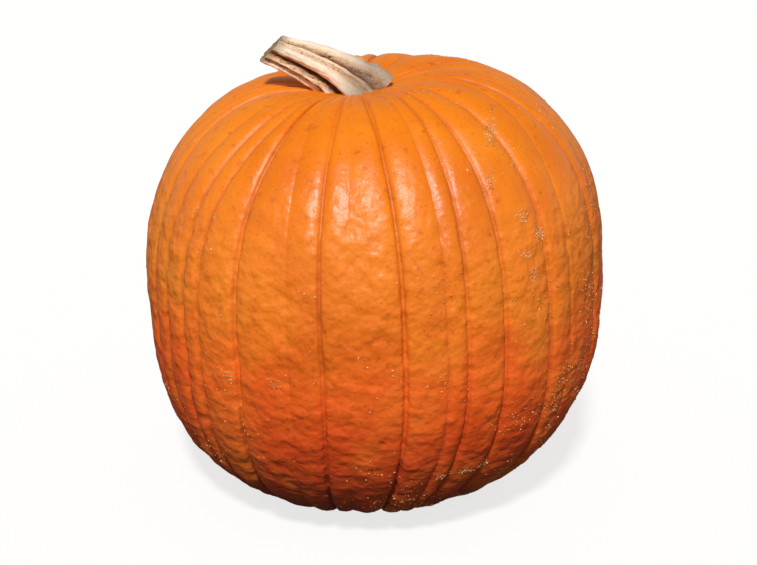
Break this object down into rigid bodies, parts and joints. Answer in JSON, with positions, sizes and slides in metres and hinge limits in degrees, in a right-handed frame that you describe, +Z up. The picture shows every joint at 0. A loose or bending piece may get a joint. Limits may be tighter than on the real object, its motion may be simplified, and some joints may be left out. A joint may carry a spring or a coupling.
{
  "type": "pumpkin",
  "caption": "Round orange carving pumpkin, softly creased from stem to blossom end and slightly lopsided, with a dried fluted stem that leans to one side, resting on a flat spot.",
  "frame": {"origin": "on the surface the pumpkin rests on, under the middle of its outline", "axes": "+Z up from the resting surface through the stem end, -Y towards the viewer, the stem leans towards -X"},
  "size_m": [0.3002, 0.2996, 0.3013],
  "materials": {
    "orange_rind": "waxy orange rind, satin with a soft broad highlight, darker and browner towards the bottom",
    "dried_stem": "dry matte cream and tan stalk with brown grooves and dark specks"
  },
  "bodies": {
    "root": {"fruit": "orange_rind", "stem": "dried_stem"}
  },
  "joints": []
}
